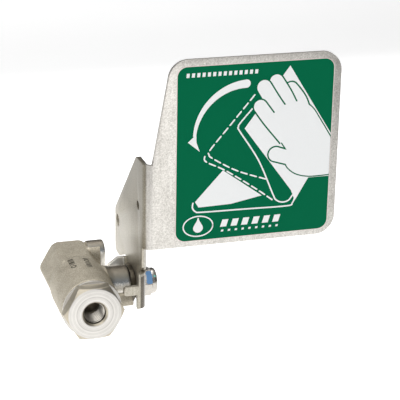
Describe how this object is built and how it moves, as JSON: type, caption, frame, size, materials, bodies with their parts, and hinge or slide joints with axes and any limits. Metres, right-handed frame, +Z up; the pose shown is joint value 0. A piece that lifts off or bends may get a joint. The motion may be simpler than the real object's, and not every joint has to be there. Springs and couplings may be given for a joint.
{
  "type": "push flag ball valve",
  "caption": "Stay-open stainless ball valve for an eyewash: hexagon body with threaded ports, side stem and a large bent-steel push flag with a green pictogram sign.",
  "frame": {"origin": "centre of the inlet (rear) port face, on the pipe axis", "axes": "+Y points out of the inlet along the pipe axis; +X runs along the stem from the valve towards the flag; +Z is up, the way the flag stands when the valve is shut"},
  "size_m": [0.1505, 0.0724, 0.1454],
  "materials": {
    "cast_stainless": "bead-blasted investment casting, fine grain, matt",
    "turned_stainless": "lathe-turned, fine concentric rings, bright",
    "sheet_stainless": "tumbled sheet, fine mottled grain, satin",
    "polished_stainless": "polished ball",
    "dark_stainless": "machined hexagon bar, dull",
    "spring_steel": "satin spring steel",
    "zinc_nut": "bright machined nut, satin",
    "blue_nylon": "blue nylon",
    "ptfe": "white filled fluoropolymer",
    "black_rubber": "moulded rubber",
    "green_sign": null
  },
  "bodies": {
    "valve_body": {"body_casting": "cast_stainless", "end_plug": "turned_stainless", "body_gasket": "ptfe", "seat_inlet": "ptfe", "seat_outlet": "ptfe", "stem_thrust_washer": "ptfe", "packing_base": "ptfe", "packing_middle": "ptfe", "packing_top": "ptfe", "gland_ring": "turned_stainless"},
    "handle": {"stem": "turned_stainless", "stem_o_ring": "black_rubber", "disc_spring_lower": "spring_steel", "disc_spring_upper": "spring_steel", "gland_nut": "dark_stainless", "push_flag": "sheet_stainless", "sign_label": "green_sign", "handle_washer": "spring_steel", "handle_nut": "zinc_nut", "nut_insert": "blue_nylon"},
    "ball": {"ball": "polished_stainless"}
  },
  "joints": [
    {"name": "flag_swing", "type": "hinge", "parent": "valve_body", "child": "handle", "pos_m": [0, -0.033, 0], "axis": [1, 0, 0], "range_deg": [-90, 0]},
    {"name": "ball_turn", "type": "hinge", "parent": "valve_body", "child": "ball", "pos_m": [0, -0.033, 0], "axis": [1, 0, 0], "range_deg": [-90, 0]}
  ],
  "couplings": [
    {"joint": "ball_turn", "follows": "flag_swing", "ratio": 1}
  ]
}
